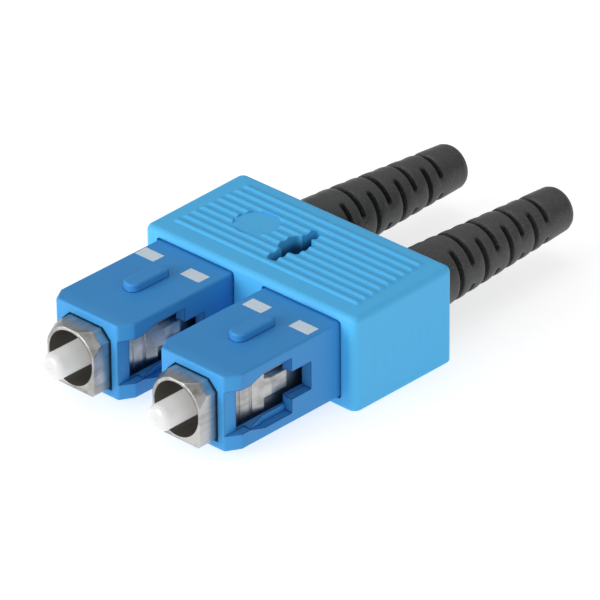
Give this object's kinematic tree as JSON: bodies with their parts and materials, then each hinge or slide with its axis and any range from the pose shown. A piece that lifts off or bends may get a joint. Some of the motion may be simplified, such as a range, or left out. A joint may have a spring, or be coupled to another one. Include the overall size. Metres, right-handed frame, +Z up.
{
  "type": "duplex sc fibre connector",
  "caption": "Pair of square push-pull fibre plugs with white ceramic ferrules, metal noses, ribbed plastic clip and slotted tapered boots.",
  "frame": {"origin": "on the flat that the part rests on, below the middle of its overall length and width", "axes": "+X across the pair, +Y from the ferrules back to the cable boots, +Z up, out of the keyed side"},
  "size_m": [0.0254, 0.0514, 0.0096],
  "materials": {
    "ceramic": "polished white zirconia",
    "nickel": "satin nickel plate",
    "spring_steel": "drawn spring wire",
    "liner": "natural fluoropolymer tube",
    "crimp": "plain drawn aluminium",
    "boot": "matt black elastomer",
    "sleeve_blue": "satin moulded plastic",
    "clip_blue": "satin moulded plastic"
  },
  "bodies": {
    "case": {"duplex_clip": "clip_blue", "left_coupling_sleeve": "sleeve_blue", "right_coupling_sleeve": "sleeve_blue"},
    "left_plug": {"left_plug_frame": "nickel", "left_spring_stop": "nickel", "left_spring": "spring_steel", "left_crimp_sleeve": "crimp", "left_boot": "boot"},
    "left_ferrule_unit": {"left_ferrule": "ceramic", "left_ferrule_holder": "nickel", "left_fibre_liner": "liner"},
    "right_plug": {"right_plug_frame": "nickel", "right_spring_stop": "nickel", "right_spring": "spring_steel", "right_crimp_sleeve": "crimp", "right_boot": "boot"},
    "right_ferrule_unit": {"right_ferrule": "ceramic", "right_ferrule_holder": "nickel", "right_fibre_liner": "liner"}
  },
  "joints": [
    {"name": "left_release", "type": "slide", "parent": "case", "child": "left_plug", "axis": [0, -1, 0], "range_m": [0, 0.0012]},
    {"name": "left_ferrule_float", "type": "slide", "parent": "left_plug", "child": "left_ferrule_unit", "axis": [0, 1, 0], "range_m": [0, 0.0012], "stiffness_N_per_m": 200, "deforming": ["left_spring"]},
    {"name": "right_release", "type": "slide", "parent": "case", "child": "right_plug", "axis": [0, -1, 0], "range_m": [0, 0.0012]},
    {"name": "right_ferrule_float", "type": "slide", "parent": "right_plug", "child": "right_ferrule_unit", "axis": [0, 1, 0], "range_m": [0, 0.0012], "stiffness_N_per_m": 200, "deforming": ["right_spring"]}
  ]
}
